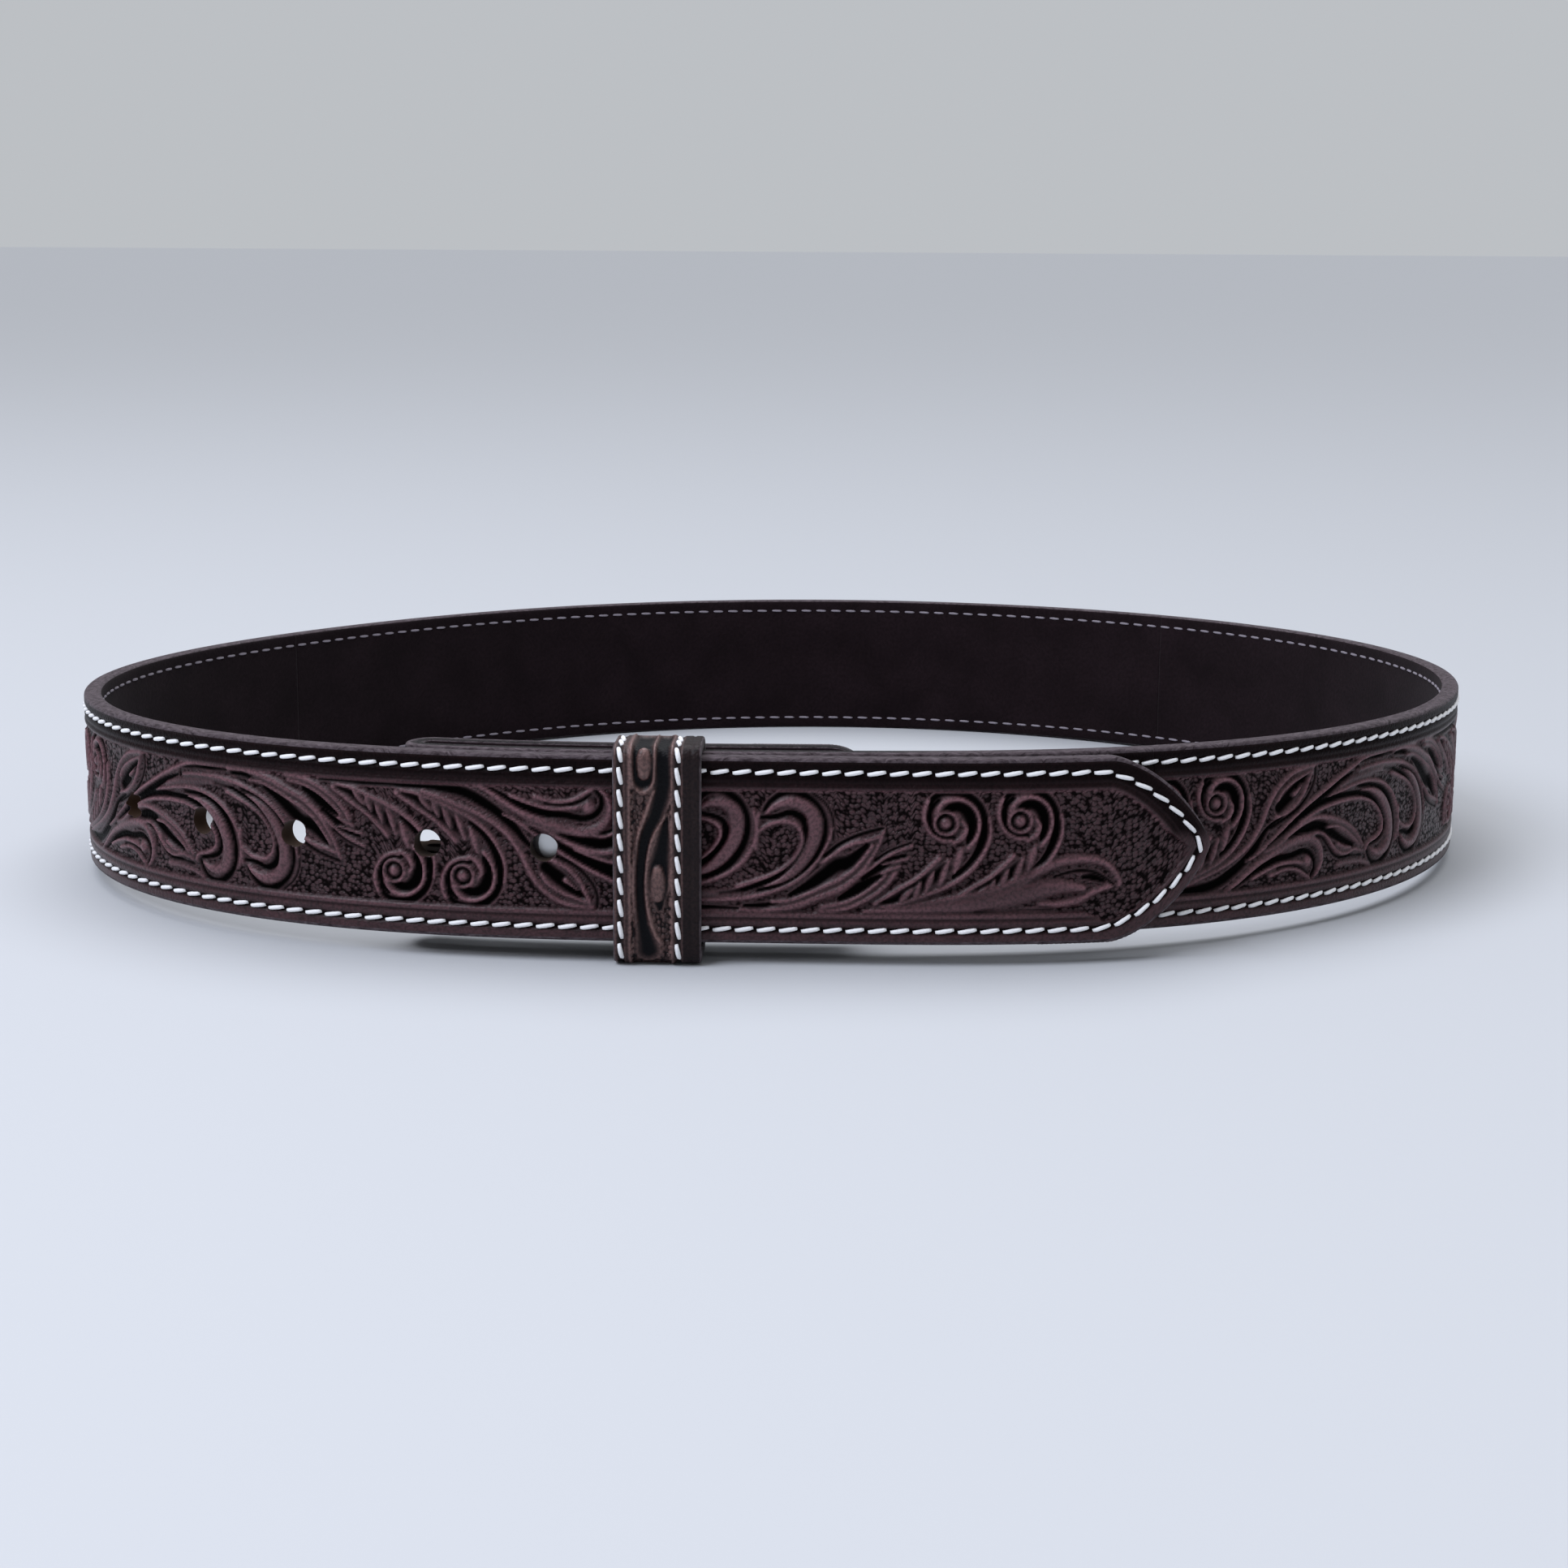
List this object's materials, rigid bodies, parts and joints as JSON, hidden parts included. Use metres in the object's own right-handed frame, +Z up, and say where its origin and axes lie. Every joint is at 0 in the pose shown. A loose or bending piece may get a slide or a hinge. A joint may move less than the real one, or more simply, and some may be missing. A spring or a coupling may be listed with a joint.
{
  "type": "western tooled leather belt strap with keeper and snaps",
  "caption": "Tooled leather belt strap standing on edge as a fastened ring, with a folded buckle end on snaps, a keeper loop and a pointed, punched tongue.",
  "frame": {"origin": "bottom centre of the part's box, on the surface that the belt stands on", "axes": "+Z up across the strap's width, -Y towards the front of the belt where the tongue runs through the keeper, +X towards the tongue's point"},
  "size_m": [0.326, 0.2694, 0.045],
  "materials": {
    "tooled_leather": "antiqued dark brown grain leather with embossed scrolls",
    "suede_side": "dark brown brushed flesh side",
    "cut_edge": "bevelled cut edge, lighter brown and slightly fuzzy",
    "keeper_leather": "antiqued dark brown grain leather, glossier",
    "stitching": "white waxed thread",
    "satin_steel": "satin nickel-plated steel"
  },
  "bodies": {
    "root": {"strap": "tooled_leather", "keeper": "keeper_leather", "snap_ring_1": "satin_steel", "snap_ring_2": "satin_steel", "snap_cap_1": "satin_steel", "snap_cap_2": "satin_steel"}
  },
  "joints": []
}
